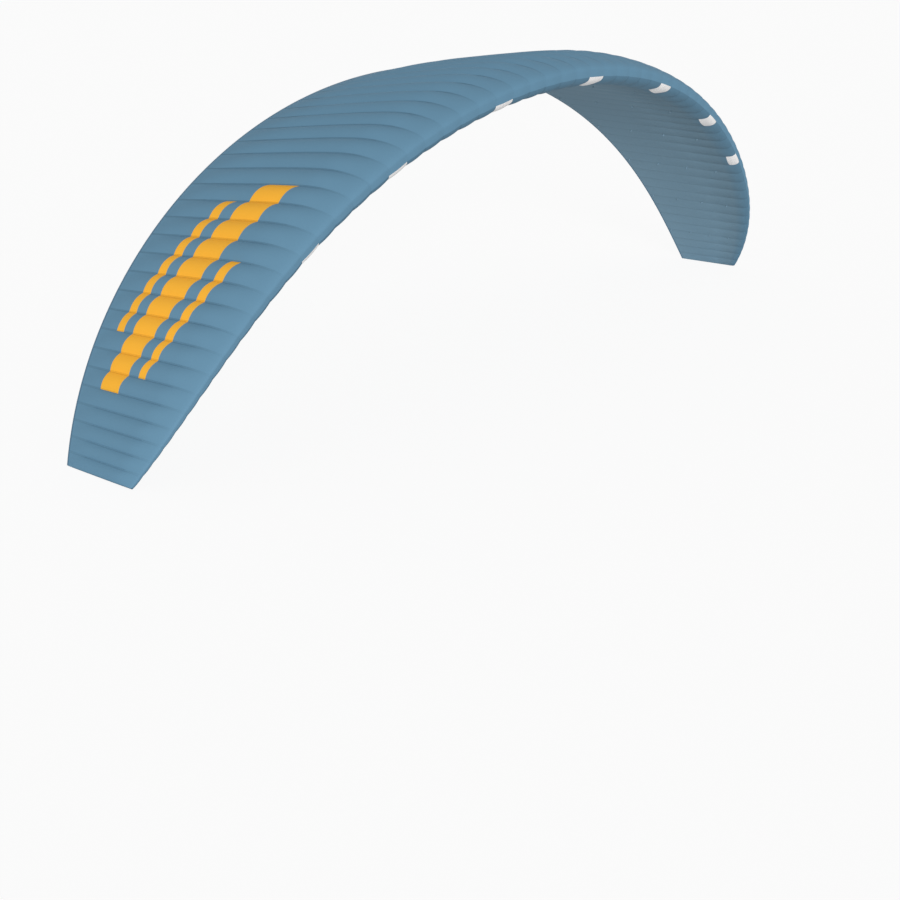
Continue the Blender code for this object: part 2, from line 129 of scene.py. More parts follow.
def arch_point(u):
    """How far out and down the arch has gone: sums of the cosine and sine of its roll up to u."""
    middles = (np.arange(ARCH_STEPS) + 0.5) / ARCH_STEPS
    roll = math.radians(TIP_ROLL) * series(ROLL_RISE, u[:, None] * middles)
    length = HALF_SPAN * u / ARCH_STEPS
    return length * np.cos(roll).sum(axis=1), length * np.sin(roll).sum(axis=1)


tip_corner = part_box("tip_panel_right")[0]
tip_down = arch_point(np.ones(1))[1][0] + math.sin(math.radians(TIP_ROLL)) * (CLEARANCE + SKIN)
BASE = np.array([0.0, TIP_SWEEP - tip_corner.y, -tip_down - tip_corner.z])


class Sections:
    """The wing's sections at an array of cell coordinates, each at its place in the arch."""

    def __init__(self, k):
        share = station(np.atleast_1d(np.asarray(k, float)))
        u, side = np.abs(share), np.where(share < 0, -1.0, 1.0)
        out, down = arch_point(u)
        roll = side * math.radians(TIP_ROLL) * series(ROLL_RISE, u)
        incidence = (math.radians(ROOT_INCIDENCE) * (1 + series(INCIDENCE_RISE, u)))[:, None]
        self.chord = ROOT_CHORD - (ROOT_CHORD - TIP_CHORD) * series(CHORD_FALL, u)
        self.thickness = ROOT_THICKNESS - (ROOT_THICKNESS - TIP_THICKNESS) * u**4
        level = np.zeros_like(roll)
        self.span = np.stack([np.cos(roll), level, -np.sin(roll)], axis=1)
        rise = np.stack([np.sin(roll), level, np.cos(roll)], axis=1)
        back = np.array([0.0, 1.0, 0.0])
        self.back = back * np.cos(incidence) - rise * np.sin(incidence)
        self.rise = rise * np.cos(incidence) + back * np.sin(incidence)
        sweep = TIP_SWEEP * series(SWEEP_RISE, u)
        self.origin = np.stack([side * out, sweep, -down], axis=1) - BASE

    def at(self, x, z, along=0.0):
        """Points x back, z up and along the span from each section's leading edge, in metres."""
        x, z, along = np.broadcast_arrays(x, z, along)
        parts = ((x, self.back), (z, self.rise), (along, self.span))
        steps = (length[..., None] * direction[:, None] for length, direction in parts)
        return self.origin[:, None] + sum(steps)

    def outline(self):
        """From the trailing edge over the top to the nose, round below it and back underneath.

        The top is a bow on a straight line that falls from the nose point to the trailing edge.
        The bow is the smaller of a quarter of a superellipse, up to the crest, and a straight
        slope behind it, blended as a sum of high powers. Below the nose comes a quarter of a
        squared ellipse, and then a flat.
        """
        chord, thick = self.chord[:, None], self.thickness[:, None]
        height = NOSE_HEIGHT * thick
        x = np.linspace(1, 0, TOP_STEPS + 1) ** BUNCHING
        ahead = np.clip(1 - x / CREST, 0, 1)
        curve = (1 - ahead**CREST_FULLNESS) ** (1 / CREST_FULLNESS)
        slope = (1 - x) / (1 - CREST)
        blend = sum(np.maximum(line, TINY) ** -CREST_BLEND for line in (curve, slope))
        bow = blend ** (-1 / CREST_BLEND)
        top = height * (1 - x) + (thick - (1 - CREST) * height) * bow / bow.max()
        top += (2 * SKIN + CLEARANCE) * x / chord
        angle = np.minimum(np.linspace(0, math.pi / 2, NOSE_STEPS + 1)[1:], math.pi / 2 - TINY)
        nose = NOSE_LENGTH * thick * (1 - np.cos(angle) ** NOSE_BLUNTNESS)
        lower = nose[:, -1:] + (1 - nose[:, -1:]) * np.linspace(0, 1, LOWER_STEPS + 1)[1:]
        x = np.hstack([x + 0 * thick, nose, lower])
        z = np.hstack([top, height * (1 - np.sin(angle) ** NOSE_BLUNTNESS), 0 * lower])
        return (x - NOSE_LEAD * (1 - x)) * chord, z * chord

    def normals(self):
        """Outward normals of the outline, in its own plane: its direction turned by a quarter."""
        x, z = (np.gradient(line, axis=1) for line in self.outline())
        return z / np.hypot(x, z), -x / np.hypot(x, z)

    def edges(self, x, inset):
        """Heights of the outline's lower and upper line at x, taken in by the inset."""
        (px, pz), (nx, nz) = self.outline(), self.normals()
        px, pz = px - nx * inset, pz - nz * inset
        return [
            np.array([np.interp(row, a[part], b[part]) for row, a, b in zip(x, px, pz)])
            for part in (slice(NOSE_POINT, None), slice(NOSE_POINT, None, -1))
        ]


def runs():
    """Label, first rib and last rib of each run of cells, from the middle out."""
    start = None
    for part, end in RUN_ENDS.items():
        if start is None:
            yield part, -end, end
        else:
            yield f"{part}_right", start, end
            yield f"{part}_left", -end, -start
        start = end


def is_load_rib(k):
    """Whether lines pull on the rib at k: each fourth from the first, but no tip panel."""
    beyond = abs(k) - FIRST_LOAD_RIB
    return beyond >= 0 and beyond % LOAD_RIB_STEP == 0 and abs(k) < CELLS / 2


class Value:
    """A number, colour or vector over a material's surface. Signs on it add Math nodes."""

    def __init__(self, socket):
        self.socket = socket

    def node(self, kind, inputs=(), output=0, **settings):
        """Adds a node beside this one. Inputs are numbers, colours or Values, by place or name."""
        tree = self.socket.id_data
        made = tree.nodes.new(kind)
        for name, setting in settings.items():
            setattr(made, name, setting)
        for name, given in inputs.items() if isinstance(inputs, dict) else enumerate(inputs):
            if isinstance(given, Value):
                tree.links.new(given.socket, made.inputs[name])
            else:
                made.inputs[name].default_value = given
        return Value(made.outputs[output])

    def maths(self, operation, *numbers):
        return self.node("ShaderNodeMath", numbers, operation=operation)

    def __add__(self, other):
        return self.maths("ADD", self, other)

    __radd__ = __add__

    def __sub__(self, other):
        return self.maths("SUBTRACT", self, other)

    def __rsub__(self, other):
        return self.maths("SUBTRACT", other, self)

    def __mul__(self, other):
        return self.maths("MULTIPLY", self, other)

    __rmul__ = __mul__

    def __truediv__(self, other):
        return self.maths("DIVIDE", self, other)

    def __rtruediv__(self, other):
        return self.maths("DIVIDE", other, self)

    def __lt__(self, other):
        return self.maths("LESS_THAN", self, other)

    def __gt__(self, other):
        return self.maths("GREATER_THAN", self, other)

    def __abs__(self):
        return self.maths("ABSOLUTE", self)

    def larger(self, other):
        return self.maths("MAXIMUM", self, other)

    def fraction(self):
        return self.maths("FRACT", self)

    def parts(self):
        """The first two parts of a vector."""
        return [self.node("ShaderNodeSeparateXYZ", (self,), output=i) for i in (0, 1)]

    def times(self, number):
        """A colour made lighter or darker."""
        return self.node("ShaderNodeVectorMath", {0: self, "Scale": number}, operation="SCALE")

    def mixed(self, share, other):
        """This colour with a share of another."""
        return self.node("ShaderNodeMix", {0: share, 6: self, 7: other}, output=2, data_type="RGBA")


def new_material(name, same_all_over):
    """A material with its shader, and a Value in it from which the others are made."""
    material = bpy.data.materials.new(name)
    material.use_nodes = True
    shader = material.node_tree.nodes["Principled BSDF"]
    for socket, number in same_all_over.items():
        shader.inputs[socket].default_value = number
    return material, shader, Value(shader.outputs[0])


def colour_of(start, rgb):
    """A plain colour as a Value."""
    both = {0: 0.0, 6: (*rgb, 1), 7: (*rgb, 1)}
    return start.node("ShaderNodeMix", both, output=2, data_type="RGBA")


def feed(shader, colour, height):
    """Links a colour and a height in metres to a shader, the height as its bump."""
    tree = shader.id_data
    tree.links.new(colour.socket, shader.inputs["Base Color"])
    bump = height.node("ShaderNodeBump", {"Height": height, "Distance": 1.0})
    tree.links.new(bump.socket, shader.inputs["Normal"])


def woven(start, pitch):
    """Height of a plain weave, 0 to 1: the mean of three waves, each way one, two threads long."""
    place = start.node("ShaderNodeTexCoord", output="Object")
    waves = [
        start.node(
            "ShaderNodeTexWave",
            {"Vector": place, "Scale": 1 / (pitch * 2 * math.pi), "Distortion": 0.0},
            output="Fac",
            bands_direction=direction,
        )
        for direction in ("X", "Y", "Z")
    ]
    return (waves[0] + waves[1] + waves[2]) / 3


def clouded(start, scale, detail):
    """Noise, 0 to 1, at the place on the object."""
    place = start.node("ShaderNodeTexCoord", output="Object")
    return start.node("ShaderNodeTexNoise", {"Vector": place, "Scale": scale, "Detail": detail})


def stiff_cloth(name, rgb, roughness, pitch=0.0012):
    """Coated cloth with a fine weave and faint clouding."""
    material, shader, start = new_material(name, {"Roughness": roughness})
    weave, clouds = woven(start, pitch), clouded(start, CLOUD_SCALE, 3.0)
    shade = 1 - WEAVE_SHADE + WEAVE_SHADE * weave + CLOUD_SHADE * (clouds - 0.5)
    feed(shader, colour_of(start, rgb).times(shade), weave * WEAVE_HEIGHT + clouds * CLOUD_HEIGHT)
    return material


def mesh_from(name, points, faces):
    """A smooth mesh, with its sharp edges kept."""
    mesh = bpy.data.meshes.new(name)
    mesh.from_pydata(points.reshape(-1, 3).tolist(), [], [list(face) for face in faces])
    mesh.polygons.foreach_set("use_smooth", np.ones(len(mesh.polygons), bool))
    mesh.set_sharp_from_angle(angle=math.radians(SHARP_ANGLE))
    return mesh


def add_piece(name, mesh, material, body="canopy", replaces=()):
    """Puts a mesh in the scene as a piece that rides on a body and stands for CAD nodes."""
    mesh.materials.append(material)
    made = bpy.data.objects.new(name, mesh)
    bpy.context.scene.collection.objects.link(made)
    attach(made, body)
    if replaces:
        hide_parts(*replaces)
    return made


def thicken(piece, thickness):
    """Gives the sheets in a piece's mesh a thickness, half of it to each side."""
    modifier = piece.modifiers.new("thicken", "SOLIDIFY")
    modifier.thickness, modifier.offset = thickness, 0.0
    shown = piece.evaluated_get(bpy.context.evaluated_depsgraph_get())
    mesh = bpy.data.meshes.new_from_object(shown)
    piece.modifiers.clear()
    piece.data = mesh


def grid_faces(rows, columns):
    """Squares of a grid of points, each as four indices, turning from rows to columns."""
    index = np.arange(rows * columns).reshape(rows, columns)
    corners = index[:-1, :-1], index[1:, :-1], index[1:, 1:], index[:-1, 1:]
    return np.stack(corners, axis=-1).reshape(-1, 4)


def welded(points, faces):
    """Points that coincide made one, and the faces' indices to match."""
    rounded = np.round(points, WELD_DIGITS)
    _, first, place = np.unique(rounded, axis=0, return_index=True, return_inverse=True)
    return points[first], place.ravel()[faces]


def port_patch(place):
    """A patch of rib round its port, as chord share and height share.

    Each point of the patch's rectangular edge is joined by a straight line to the point of
    the port's ellipse at the same turn.
    """
    across, up = (np.linspace(-1, 1, count + 1)[:-1] for count in (PORT_STEPS, RIB_ROWS))
    half = np.concatenate([np.stack([across, 0 * across - 1], 1), np.stack([0 * up + 1, up], 1)])
    edge = np.concatenate([half, -half])
    turn = np.arctan2(edge[:, 1], edge[:, 0])
    ring = np.stack([np.cos(turn) * PORT_LENGTH, np.sin(turn) * 2 * PORT_HEIGHT], 1)
    share = np.linspace(1, 0, PORT_RINGS)[:, None, None]
    patch = edge * [PORT_MARGIN * PORT_LENGTH, 1] * (1 - share) + ring * share
    return np.concatenate([patch, patch[:, :1]], axis=1) + [place, 0]


def rib_grids(k):
    """A rib's grids of chord share and height share: plain ones, and one round each port."""
    places = PORT_PLACES if is_load_rib(k) else PORT_PLACES[:1]
    reach = PORT_MARGIN * PORT_LENGTH
    edges = [place + side * reach for place in places for side in (-1, 1)]
    cuts = [RIB_START, *edges, RIB_END]
    for start, end in zip(cuts[::2], cuts[1::2]):
        share = start + (end - start) * np.linspace(0, 1, RIB_COLUMNS)
        yield np.stack(np.meshgrid(share, np.linspace(-1, 1, RIB_ROWS + 1), indexing="ij"), -1)
    for place in places:
        yield port_patch(place)


def rib_mesh(name, ribs):
    """Flat plates from the section's lower line to its upper line, by height share -1 to 1."""
    points, faces, count = [], [], 0
    for k in ribs:
        section = Sections(k)
        for grid in rib_grids(k):
            x, share = (grid[..., i].reshape(1, -1) for i in (0, 1))
            low, high = section.edges(x * section.chord, SKIN + CLEARANCE)
            points.append(section.at(x * section.chord, low + (high - low) * (share + 1) / 2)[0])
            faces.append(grid_faces(*grid.shape[:2]) + count)
            count += x.size
    return mesh_from(name, *welded(np.concatenate(points), np.concatenate(faces)))


rib_cloth = stiff_cloth("rib_cloth", (0.80, 0.80, 0.78), 0.6)
strap_webbing = stiff_cloth("strap_webbing", (0.62, 0.63, 0.62), 0.75, pitch=0.0009)
for label, first, last in runs():
    # A run leaves its rib nearest the middle to the run before it, and the last to a tip panel
    taken = {"centre": None, "right": first, "left": last}[label.split("_")[-1]]
    ribs = [k for k in np.arange(first, last + 0.5) if k != taken and abs(k) < CELLS / 2]
    name, frame_node = f"ribs_{label}", f"rib_frame_{label}"
    plates = add_piece(name, rib_mesh(name, ribs), rib_cloth, replaces=[frame_node])
    thicken(plates, RIB_THICKNESS)

    line = Sections(np.linspace(ribs[0], ribs[-1], 2 * len(ribs) - 1))
    middle = STRAP_PLACE * line.chord[:, None]
    height = line.edges(middle, SKIN + CLEARANCE)[0]
    height = height + STRAP_HEIGHT * line.thickness[:, None] / ROOT_THICKNESS
    across = np.linspace(-0.5, 0.5, STRAP_COLUMNS) * STRAP_WIDTH
    points = line.at(middle + across, height + 0 * across)
    mesh = mesh_from(f"load_strap_{label}", points, grid_faces(*points.shape[:2]))
    strap = add_piece(mesh.name, mesh, strap_webbing, replaces=[frame_node])
    thicken(strap, SKIN)


# Intake valves
# Behind each intake hangs a flap of stiffened cloth, hemmed round a cord at its seam under
# the nose. Air from outside pushes it in, and pressure inside lays it back on the intake.
INTAKE_CELLS = (0, 6, 12, 17)
NOSE_SEAM = NOSE_POINT + 2  # where top and bottom skin meet, 10 degrees round the lower nose
INTAKE_END = NOSE_POINT + 13  # 65 degrees round the lower nose, at 5 degrees a column
FLAP_HEM_RADIUS = 0.0015
FLAP_HEM_RINGS, FLAP_HEM_SIDES = 24, 12
FLAP_COLUMNS, FLAP_ROWS = 17, 13
FLAP_SIDE_CLEARANCE = 0.0025
FLAP_TAIL_CLEARANCE = 0.004
FLAP_THICKNESS = 0.0007
FLAP_BOW = 0.0015


def intake_labels():
    """Label and cell of each intake, from left to right."""
    for cell in sorted({side * cell for cell in INTAKE_CELLS for side in (-1, 1)}):
        side = "right" if cell > 0 else "left"
        yield f"{side}_{INTAKE_CELLS.index(abs(cell))}" if cell else "centre", cell


def shell_mesh(name, outer, inner, kept=None):
    """Cloth between two grids of points, with a rim round it. Kept says which squares there are."""
    rows, columns = outer.shape[:2]
    kept = np.ones((rows - 1, columns - 1), bool) if kept is None else kept
    squares = grid_faces(rows, columns)
    index = np.arange(rows * columns).reshape(rows, columns)
    faces = [squares[kept.ravel()][:, ::-1], squares[kept.ravel()] + rows * columns]
    padded = np.pad(kept, 1)
    for (di, dj), (p, q) in {
        (-1, 0): (index[:-1, :-1], index[:-1, 1:]),
        (1, 0): (index[1:, 1:], index[1:, :-1]),
        (0, -1): (index[1:, :-1], index[:-1, :-1]),
        (0, 1): (index[:-1, 1:], index[1:, 1:]),
    }.items():
        beside = padded[1 + di : rows + di, 1 + dj : columns + dj]
        p, q = p[kept & ~beside], q[kept & ~beside]
        faces.append(np.stack([q, p, p + rows * columns, q + rows * columns], axis=-1))
    faces = np.concatenate(faces)
    used, faces = np.unique(faces, return_inverse=True)
    points = np.concatenate([outer.reshape(-1, 3), inner.reshape(-1, 3)])[used]
    return mesh_from(name, points, faces.reshape(-1, 4)), used % (rows * columns)


def outward(mesh):
    """Turns a closed mesh's faces outward, by the sign of its volume, a sum of triple products."""
    mesh.calc_loop_triangles()
    corners = np.array([[mesh.vertices[i].co for i in t.vertices] for t in mesh.loop_triangles])
    corners -= corners.mean(axis=(0, 1))
    if np.einsum("ij,ij->", np.cross(corners[:, 0], corners[:, 1]), corners[:, 2]) < 0:
        mesh.flip_normals()
    return mesh


def tube_mesh(name, rings):
    """A closed tube through rings of points, with a flat cap at each end."""
    count, sides = rings.shape[:2]
    index = np.arange(count * sides).reshape(count, sides)
    wrapped = np.concatenate([index, index[:, :1]], axis=1)
    corners = wrapped[:-1, :-1], wrapped[:-1, 1:], wrapped[1:, 1:], wrapped[1:, :-1]
    squares = np.stack(corners, axis=-1).reshape(-1, 4)
    faces = squares.tolist() + [index[0, ::-1].tolist(), index[-1].tolist()]
    return outward(mesh_from(name, rings, faces))


def flap_grid(cell, hinge, lift):
    """Straight from the hinge to the rest line, plus a bow of sine by sine towards the inside."""
    ribs = Sections([cell - 0.5, cell + 0.5])
    (x, z), (nx, nz) = ribs.outline(), ribs.normals()
    x, z = x - nx * SKIN, z - nz * SKIN
    seams = ribs.at(x[:, [NOSE_SEAM]], z[:, [NOSE_SEAM]])[:, 0]
    seams += hinge - seams.mean(axis=0)
    tail = x[:, [INTAKE_END]] - FLAP_TAIL_CLEARANCE, z[:, [INTAKE_END]] + FLAP_TAIL_CLEARANCE / 2
    rests = ribs.at(*tail)[:, 0]
    s = np.linspace(0, 1, FLAP_COLUMNS)[:, None, None]
    t = np.linspace(0, 1, FLAP_ROWS)[None, :, None]
    lines = []
    for start, end in (seams, rests):
        inset = FLAP_SIDE_CLEARANCE / np.linalg.norm(end - start)
        lines.append(start + (end - start) * (inset + (1 - 2 * inset) * s))
    normal = np.cross(seams[1] - seams[0], rests[0] - seams[0])
    normal *= -np.sign(normal[1]) / np.linalg.norm(normal)
    bow = FLAP_BOW * np.sin(math.pi * s) * np.sin(math.pi * t)
    return lines[0] * (1 - t) + lines[1] * t + normal * (lift - bow), seams


hinges = {
    joint["child"]: np.array(joint["pos_m"])
    for joint in frame["joints"]
    if joint["type"] == "hinge"
}
valve_cloth = stiff_cloth("valve_cloth", (0.45, 0.47, 0.50), 0.45, pitch=0.0008)
for label, cell in intake_labels():
    body = f"valve_{label}"
    front, seams = flap_grid(cell, hinges[body], FLAP_THICKNESS / 2)
    mesh, _ = shell_mesh(body, front, flap_grid(cell, hinges[body], -FLAP_THICKNESS / 2)[0])
    flap = add_piece(body, mesh, valve_cloth, body, [f"valve_flap_{label}"])

    width = np.linalg.norm(seams[1] - seams[0])
    along = (seams[1] - seams[0]) / width
    reach = width / 2 - SKIN / 2 - 2 * CLEARANCE
    places = np.linspace(-reach, reach, FLAP_HEM_RINGS)[:, None, None]
    turn = np.linspace(0, 2 * math.pi, FLAP_HEM_SIDES + 1)[:-1, None]
    back = np.array([0.0, 1.0, 0.0])
    circle = FLAP_HEM_RADIUS * (np.cos(turn) * back + np.sin(turn) * np.cross(along, back))
    mesh = tube_mesh(f"valve_hem_{label}", seams.mean(axis=0) + along * places + circle)
    hem = add_piece(mesh.name, mesh, valve_cloth, body)
    size = [
        np.linalg.norm(np.diff(front, axis=axis), axis=2).sum(axis=axis).mean() for axis in (0, 1)
    ]


# Top skins
# Ripstop nylon, sewn to the ribs in sixty-one cells that swell between them, with the seams
# drawn in and painted shade in their creases. A plain pattern of three slanted bars is dyed
# into each wing.
BALLOON = 0.16  # how far a cell's middle swells, share of its width
NOSE_SHARE, NOSE_REACH = 0.17, 0.24  # share of it at the nose, and chord share where it is full
TOP_HOLD, TOP_END = 0.66, 0.98  # chord shares where the swelling begins and ends to die out
LOWER_SHARE, LOWER_REACH, LOWER_END = 0.50, 0.07, 0.85  # below: share of it, where full, where gone
CELL_ROWS = 14
CLOTH = 0.0006  # thickness of the shown cloth
RUN_GAP = 0.001  # cells by which a run's edge stays short of the seam
BLUE = (0.135, 0.275, 0.395)
ORANGE = (1.0, 0.49, 0.045)
BARS = (  # ribs between which a bar lies, its chord share at both, and half its width
    (14.5, 25.5, 0.37, 0.70, 0.095),
    (15.5, 22.5, 0.61, 0.82, 0.032),
    (18.5, 24.5, 0.27, 0.45, 0.032),
)
RIPSTOP_PITCH = 0.005
RIPSTOP_SHARE = 0.16  # of the pitch that the thicker thread takes
RIPSTOP_SHADE, RIPSTOP_HEIGHT = 0.03, 0.00003
STITCH_INSET, STITCH_WIDTH = 0.004, 0.001
STITCH_PITCH = 0.0035
STITCH_SHARE = 0.62  # of the pitch that a stitch takes
STITCH_SHADE, STITCH_HEIGHT = 0.16, 0.0001
SEAM_ALLOWANCE = 0.007  # beside a seam the cloth lies double
SEAM_CREASE_SHADE, SEAM_CREASE_SHADE_FALL = 0.33, 0.0085  # painted shade in a seam's crease, with its doubled cloth: on top, in the middle and less for each cell
CREASE_SHADE_START = 0.17  # chord share where the top's painted seam shade stops fading in from the nose
# Below, the seams' painted crease shade, with their doubled cloth, is fainter
LOWER_SEAM_CREASE_SHADE = 0.08
DYE_SHADE = 0.07
PAINTED_NOSE_SHADE, NOSE_SHADE_END = 0.22, 0.35  # below, painted shade, darker towards the nose and gone at a chord share
BLUE_END = 0.12  # chord share from which the cloth below takes the top's blue
PUCKER_REACH, PUCKER_HEIGHT = 0.02, 0.0016


def cell_width(cell):
    """Distance along the arch between a cell's two ribs."""
    return HALF_SPAN * (station(cell + 0.5) - station(cell - 0.5))


def smooth_step(t):
    """Three times the square less twice the cube, from 0 to 1."""
    t = np.clip(t, 0, 1)
    return t**2 * (3 - 2 * t)


def swollen(section, k):
    """The outline moved out along its normals, by a parabola across each cell.

    The swelling grows from the nose as a smooth step. Over the top it dies out as one minus
    a square, and below as another smooth step.
    """
    (x, z), (nx, nz) = section.outline(), section.normals()
    cell = np.round(k)
    across = BALLOON * cell_width(cell) * (1 - 4 * (k - cell) ** 2)
    share = x / section.chord[:, None]
    reaches = NOSE_REACH, LOWER_REACH, LOWER_END
    growth, below, decline = (smooth_step(share / reach) for reach in reaches)
    top = NOSE_SHARE + (1 - NOSE_SHARE) * growth
    top = top * (1 - np.clip((share - TOP_HOLD) / (TOP_END - TOP_HOLD), 0, 1) ** 2)
    lower = (NOSE_SHARE + (LOWER_SHARE - NOSE_SHARE) * below) * (1 - decline)
    over = np.arange(x.shape[1]) <= NOSE_POINT
    swell = across[:, None] * np.where(over, top, lower)
    return x + nx * swell, z + nz * swell


def skin_grids(first, last, columns):
    """Outer and inner grid of a skin, its rows along the span, and its two sets of coordinates.

    One set is the cell coordinate and the chord share, the other the distance to the nearest
    seam and the distance along the outline, in metres.
    """
    k = np.linspace(first + RUN_GAP, last - RUN_GAP, int(round(last - first)) * CELL_ROWS + 1)
    section = Sections(k)
    (x, z), (nx, nz) = swollen(section, k), section.normals()
    outer, inner = (
        section.at(x - nx * inset, z - nz * inset)[:, columns] for inset in (0.0, CLOTH)
    )
    cell = np.round(k)
    seam = cell_width(cell) * (0.5 - np.abs(k - cell))
    seam = np.broadcast_to(seam[:, None], x.shape)
    steps = (np.diff(line, axis=1, prepend=line[:, :1]) for line in (x, z))
    run = np.cumsum(np.hypot(*steps), axis=1)
    cells = np.stack([np.broadcast_to(k[:, None], x.shape), x / section.chord[:, None]], axis=-1)
    return outer, inner, cells[:, columns], np.stack([seam, run], axis=-1)[:, columns]


def add_coordinates(mesh, name, values, used):
    """A UV map from a grid's values; used gives the grid's point of each vertex."""
    corners = np.empty(len(mesh.loops), np.int32)
    mesh.loops.foreach_get("vertex_index", corners)
    layer = mesh.uv_layers.new(name=name)
    layer.data.foreach_set("uv", values.reshape(-1, 2)[used[corners]].ravel().astype(np.float32))


def flat_size(first, last, columns):
    """Width and length that a skin was cut to, and its area: each cell's width by its length.

    A cell's width is the arc of its flat parabola: its chord times one plus 8/3 of the
    square of its height share.
    """
    cells = np.arange(first + 0.5, last)
    x, z = (line[:, columns] for line in Sections(cells).outline())
    lengths = np.hypot(np.diff(x, axis=1), np.diff(z, axis=1)).sum(axis=1)
    widths = cell_width(cells) * (1 + 8 / 3 * BALLOON**2)
    return (widths.sum(), lengths.max()), (widths * lengths).sum()


def bar(k, share, near, far, start, end, half):
    """One where a slanted bar is: between two ribs, and this close to its centre line."""
    slope = (end - start) / (far - near)
    middle = (abs(k) - near) * slope + start
    return (abs(share - middle) < half) * (abs(k) > near) * (abs(k) < far)


def stitches(seam, run):
    """One on the stitches of the row beside a seam."""
    row = abs(seam - STITCH_INSET) < STITCH_WIDTH / 2
    return row * ((run / STITCH_PITCH).fraction() < STITCH_SHARE)


def towards_nose(share, end):
    """One at the nose, and less in a straight line to nothing at a chord share."""
    return (1 - share / end).larger(0.0)


def canopy_cloth(name, rgb, design):
    """Ripstop: a grid of thicker threads, stitched seams, faint clouds and puckers by the seams.

    The design goes on top, where the seams' painted crease shade, drawn together with their doubled cloth,
    fades towards the nose and the wing tips.
    Cloth without it, below, is darkened by painted shade towards the nose, and there takes the top's blue.
    """
    material, shader, start = new_material(name, {"Roughness": 0.7, "Specular IOR Level": 0.08})
    k, share = start.node("ShaderNodeUVMap", uv_map="cells").parts()
    seam, run = start.node("ShaderNodeUVMap", uv_map="cloth").parts()
    across, down = (
        abs((way / RIPSTOP_PITCH).fraction() - 0.5) > 0.5 - RIPSTOP_SHARE / 2 for way in (seam, run)
    )
    # The band of doubled cloth beside each seam, which also carries painted shade of the seam's crease
    threads, stitch, doubled_and_creased = across.larger(down), stitches(seam, run), seam < SEAM_ALLOWANCE
    colour, dye = colour_of(start, rgb), DYE_SHADE * (clouded(start, 1.6, 3.0) - 0.5)
    shade = 1.0 + dye - STITCH_SHADE * stitch + RIPSTOP_SHADE * threads
    if design:
        marks = bar(k, share, *BARS[0])
        for mark in BARS[1:]:
            marks = marks.larger(bar(k, share, *mark))
        colour = colour.mixed(marks, (*ORANGE, 1.0))
        # Painted shade in the seams' creases, with their doubled cloth: less for each cell out, and fading
        # in from the nose, where the cells hardly swell
        seam_crease_shade = SEAM_CREASE_SHADE - SEAM_CREASE_SHADE_FALL * abs(k)
        seam_crease_shade = seam_crease_shade * (1 - towards_nose(share, CREASE_SHADE_START))
    else:
        # Below, fainter painted shade in the seams' creases, with their doubled cloth
        seam_crease_shade = LOWER_SEAM_CREASE_SHADE
        # Painted shade under the nose, strongest at the nose and gone at a chord share
        shade = shade - PAINTED_NOSE_SHADE * towards_nose(share, NOSE_SHADE_END)
        colour = colour.mixed(towards_nose(share, BLUE_END), (*BLUE, 1.0))
    pucker = PUCKER_REACH**2 / (seam * seam + PUCKER_REACH**2) * clouded(start, 14.0, 1.0)
    height = threads * RIPSTOP_HEIGHT + (stitch + doubled_and_creased) * STITCH_HEIGHT
    feed(shader, colour.times(shade - seam_crease_shade * doubled_and_creased), height + pucker * PUCKER_HEIGHT)
    return material


top_columns = slice(0, NOSE_SEAM + 1)
top_cloth = canopy_cloth("canopy_cloth", BLUE, True)
for label, first, last in runs():
    outer, inner, cells, cloth = skin_grids(first, last, top_columns)
    mesh, used = shell_mesh(f"top_cloth_{label}", outer, inner)
    add_coordinates(mesh, "cells", cells, used)
    add_coordinates(mesh, "cloth", cloth, used)
    skin = add_piece(mesh.name, mesh, top_cloth, replaces=[f"top_skin_{label}"])
    flat, area = flat_size(first, last, top_columns)


# Bottom skins
# The same cloth in a greyer dye closes the cells below. It swells round the nose and lies
# flat behind it, and seven cells are cut open in the lower nose for the intakes.
UNDER_BLUE = (0.198, 0.318, 0.408)

bottom_columns = slice(NOSE_SEAM, None)
bottom_cloth = canopy_cloth("canopy_cloth_below", UNDER_BLUE, False)
for label, first, last in runs():
    outer, inner, cells, cloth = skin_grids(first, last, bottom_columns)
    cell = np.round((cells[:-1, 0, 0] + cells[1:, 0, 0]) / 2)
    front = np.arange(outer.shape[1] - 1) < INTAKE_END - NOSE_SEAM
    open_here = np.isin(np.abs(cell), INTAKE_CELLS)[:, None] & front
    mesh, used = shell_mesh(f"bottom_cloth_{label}", outer, inner, ~open_here)
    add_coordinates(mesh, "cells", cells, used)
    add_coordinates(mesh, "cloth", cloth, used)
    node = f"bottom_skin_{label}"
    skin = add_piece(mesh.name, mesh, bottom_cloth, replaces=[node])
    flat, area = flat_size(first, last, bottom_columns)


# Intake panels
# A white open weave that lets the air in, sewn into the lower nose of seven cells. Its
# holes, a grid of small squares painted dark with the shade inside the cell, are in the material.
INTAKE_GAP = 0.002  # cells between a panel and the seams beside it
WHITE = (0.95, 0.93, 0.92)
MESH_PITCH, MESH_HEIGHT = 0.002, 0.0001
HOLE_SHARE = 0.4  # of the pitch that a hole takes
# The holes are painted dark: painted shade of the cell's inside, seen through them
HOLE_INSIDE_SHADE, THREAD_SHADE = 0.45, 0.2
MESH_BORDER = 0.006  # beside a seam the weave is closed

